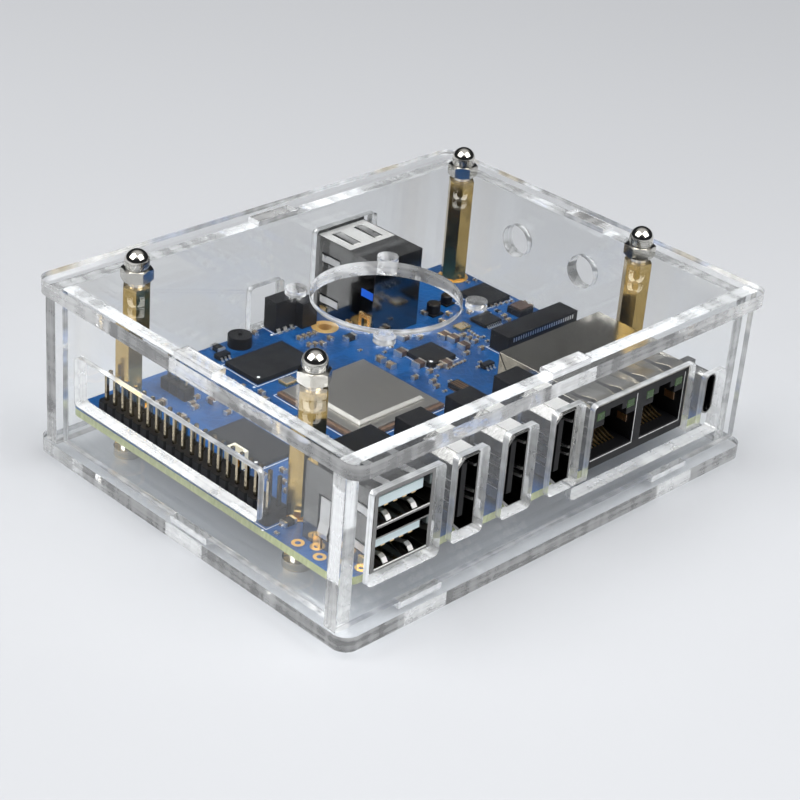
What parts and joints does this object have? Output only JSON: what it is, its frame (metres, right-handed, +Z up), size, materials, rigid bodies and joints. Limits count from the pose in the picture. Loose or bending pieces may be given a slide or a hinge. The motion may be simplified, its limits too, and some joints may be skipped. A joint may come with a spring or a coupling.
{
  "type": "single board computer case",
  "caption": "Clear laser-cut case held by brass posts and cap nuts, with the blue computer board inside, port windows on two sides, a pin header window and a fan opening",
  "frame": {"origin": "centre of the case footprint, on the plane of the four screw heads that it stands on", "axes": "X along the long port side, -Y the port side, -X the pin header side, +Z up"},
  "size_m": [0.1104, 0.0878, 0.045],
  "materials": {
    "clear_sheet": "clear acrylic sheet, polished faces, frosty laser-cut edges",
    "brass": "turned brass hexagon, bright",
    "nickel": "nickel plated, polished",
    "board_blue": "blue solder mask, satin gloss, pale green glass-fibre edge",
    "black_plastic": "black moulded plastic",
    "gold_plate": "gold plated contacts",
    "socket_metal": "bright drawn socket shell",
    "shield_metal": "satin folded shield",
    "pale_plastic": "pale blue-white moulded plastic",
    "blue_plastic": "blue moulded plastic",
    "white_plastic": "ivory moulded plastic",
    "lamp_green": "translucent green lens",
    "substrate": "copper-edged chip substrate",
    "cap_metal": "matte grey metal cap",
    "chip_black": "dark moulded chip"
  },
  "bodies": {
    "root": {"bottom_plate": "clear_sheet", "bottom_screws": "nickel", "bridge_chip": "chip_black", "bus_contacts": "gold_plate", "bus_core": "pale_plastic", "bus_shell": "socket_metal", "buzzer": "black_plastic", "cable_socket": "white_plastic", "cap_nuts": "nickel", "card_socket": "black_plastic", "circuit_board": "board_blue", "display_1_core": "black_plastic", "display_1_shell": "socket_metal", "display_2_core": "black_plastic", "display_2_shell": "socket_metal", "display_3_core": "black_plastic", "display_3_shell": "socket_metal", "fast_bus_contacts": "gold_plate", "fast_bus_core": "blue_plastic", "fast_bus_shell": "socket_metal", "front_plate": "clear_sheet", "header_base": "black_plastic", "header_pins": "gold_plate", "left_plate": "clear_sheet", "lid": "clear_sheet", "lower_standoffs": "brass", "memory_rear": "chip_black", "memory_side": "chip_black", "network_contacts": "gold_plate", "network_housing": "black_plastic", "network_lamps": "lamp_green", "network_shield": "shield_metal", "power_core": "black_plastic", "power_shell": "socket_metal", "processor_base": "substrate", "processor_cap": "cap_metal", "rear_plate": "clear_sheet", "receiver": "black_plastic", "regulator_chip": "chip_black", "right_plate": "clear_sheet", "sound_socket": "black_plastic", "upper_posts": "brass"}
  },
  "joints": []
}
